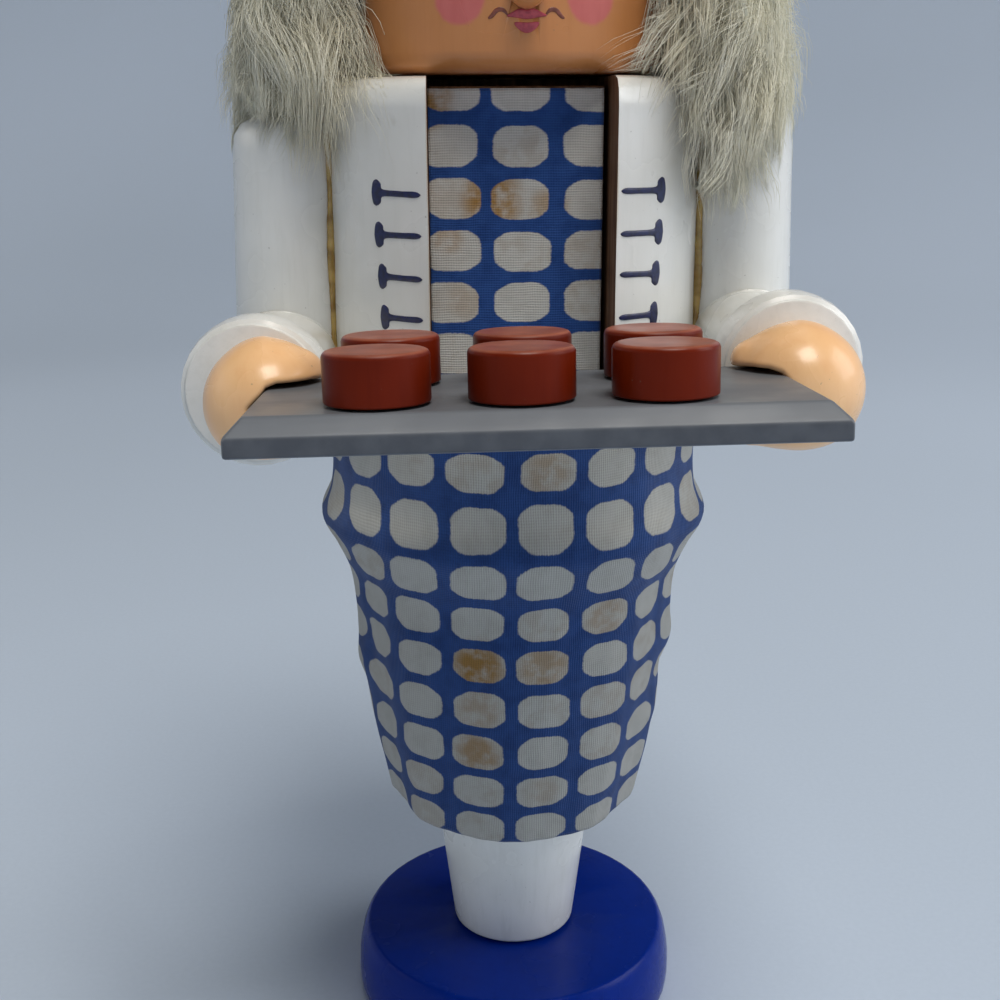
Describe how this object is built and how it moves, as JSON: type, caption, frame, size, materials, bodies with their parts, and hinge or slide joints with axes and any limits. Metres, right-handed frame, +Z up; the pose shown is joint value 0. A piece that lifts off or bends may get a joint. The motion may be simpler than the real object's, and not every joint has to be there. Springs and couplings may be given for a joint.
{
  "type": "nutcracker figure",
  "caption": "Turned wooden nutcracker figure of a baker with a cloth apron and bib, fur hair, and a tray of small cakes; a lever through the torso opens the jaw.",
  "frame": {"origin": "middle of the flat underside of the base disc", "axes": "+Z up the turned figure, -Y the way the figure faces, +X to the viewer's right"},
  "size_m": [0.093, 0.1085, 0.2332],
  "materials": {
    "white_lacquer": "glossy white lacquer on turned wood",
    "blue_lacquer": "high gloss deep blue lacquer on turned wood",
    "skin_lacquer": "glossy skin-tone lacquer on turned wood",
    "tray_lacquer": "satin grey lacquer on sawn wood",
    "cake_lacquer": "glossy red-brown lacquer on turned wood",
    "print_cloth": "plain-weave cotton printed with pale rounded spots on blue",
    "grey_fur": "long silver-grey fur",
    "bare_wood": "unfinished beech",
    "lever_wood": "oiled beech",
    "pin_steel": "plain drawn steel"
  },
  "bodies": {
    "figure": {"leg_post": "white_lacquer", "torso": "white_lacquer", "upper_arm_left": "white_lacquer", "upper_arm_right": "white_lacquer", "forearm_left": "white_lacquer", "forearm_right": "white_lacquer", "cap": "white_lacquer", "base_disc": "blue_lacquer", "hand_left": "skin_lacquer", "hand_right": "skin_lacquer", "head": "skin_lacquer", "nose": "skin_lacquer", "tray": "tray_lacquer", "cake_1": "cake_lacquer", "cake_2": "cake_lacquer", "cake_3": "cake_lacquer", "cake_4": "cake_lacquer", "cake_5": "cake_lacquer", "cake_6": "cake_lacquer", "apron_skirt": "print_cloth", "hair_left": "grey_fur", "hair_right": "grey_fur", "hair_back": "grey_fur", "base_dowel": "bare_wood", "hip_dowel": "bare_wood", "neck_dowel": "bare_wood", "arm_dowel_left": "bare_wood", "arm_dowel_right": "bare_wood", "lever_pin": "pin_steel"},
    "lever": {"lever": "lever_wood", "bib_cloth": "print_cloth"}
  },
  "joints": [
    {"name": "jaw_lever", "type": "hinge", "parent": "figure", "child": "lever", "pos_m": [0, 0.006, 0.112], "axis": [1, 0, 0], "range_deg": [0, 18]}
  ]
}
